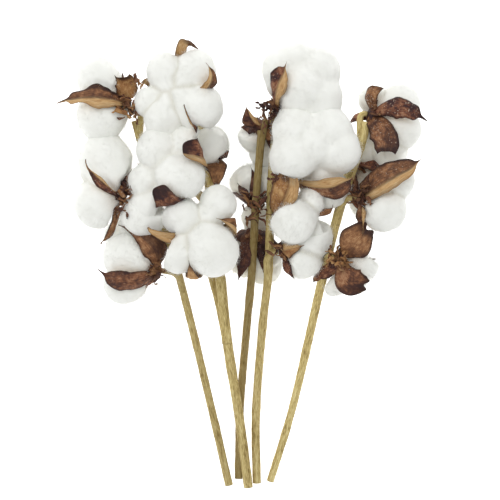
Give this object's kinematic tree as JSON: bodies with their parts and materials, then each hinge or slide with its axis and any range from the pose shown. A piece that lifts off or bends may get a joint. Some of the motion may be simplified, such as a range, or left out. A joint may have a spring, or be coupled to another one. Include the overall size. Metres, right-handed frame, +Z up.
{
  "type": "cotton stem bunch",
  "caption": "Loose bunch of long cotton stems laid flat, with clusters of open white bolls held in dry brown pointed burrs at the tips.",
  "frame": {"origin": "on the surface that the bunch lies on, under the middle of its length and width", "axes": "+Y from the cut ends of the stems to their tips, +Z up from the surface, +X across the bunch"},
  "size_m": [0.2593, 0.3204, 0.0928],
  "materials": {
    "lint": "matte soft white cotton lint with fine loose fibres",
    "burr": "matte dry reddish brown husk, darker at edges and tips, tan inside",
    "stem": "matte olive tan bark with fine lengthwise grain"
  },
  "bodies": {
    "root": {"stem_1": "stem", "stem_2": "stem", "stem_3": "stem", "stem_4": "stem", "stem_5": "stem", "burr_1a": "burr", "burr_1b": "burr", "burr_1c": "burr", "burr_1d": "burr", "burr_2e": "burr", "burr_2f": "burr", "burr_2g": "burr", "burr_2h": "burr", "burr_3j": "burr", "burr_3l": "burr", "burr_3m": "burr", "burr_4i": "burr", "burr_4k": "burr", "burr_4n": "burr", "burr_4o": "burr", "burr_5p": "burr", "burr_5q": "burr", "burr_5r": "burr", "burr_5u": "burr", "cotton_1a": "lint", "cotton_1b": "lint", "cotton_1c": "lint", "cotton_1d": "lint", "cotton_2e": "lint", "cotton_2f": "lint", "cotton_2g": "lint", "cotton_2h": "lint", "cotton_3j": "lint", "cotton_3l": "lint", "cotton_3m": "lint", "cotton_4i": "lint", "cotton_4k": "lint", "cotton_4n": "lint", "cotton_4o": "lint", "cotton_5p": "lint", "cotton_5q": "lint", "cotton_5r": "lint", "cotton_5u": "lint"}
  },
  "joints": []
}
